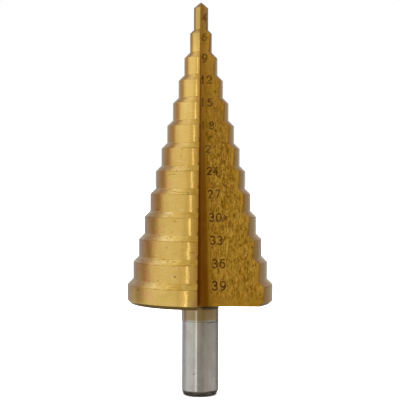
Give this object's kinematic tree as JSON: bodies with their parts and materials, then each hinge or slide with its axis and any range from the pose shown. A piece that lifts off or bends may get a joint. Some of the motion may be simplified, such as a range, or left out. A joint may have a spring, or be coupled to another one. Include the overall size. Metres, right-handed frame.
{
  "type": "step drill",
  "caption": "Stepped cone drill on a round shank with driving flats, gold coated, with straight flutes and a short pilot point, for opening round holes in sheet metal.",
  "frame": {"origin": "centre of the shank's end face, on the drill's axis", "axes": "+Z along the drill's axis towards the point; the rake faces lie in the YZ plane, and the flute nearest -Y opens towards -Y and +X"},
  "size_m": [0.0388, 0.039, 0.1045],
  "materials": {
    "coated_steel": "high-speed steel, gold titanium nitride coating on the cone and flutes, bare ground steel on the lower shank"
  },
  "bodies": {
    "root": {"drill": "coated_steel"}
  },
  "joints": []
}
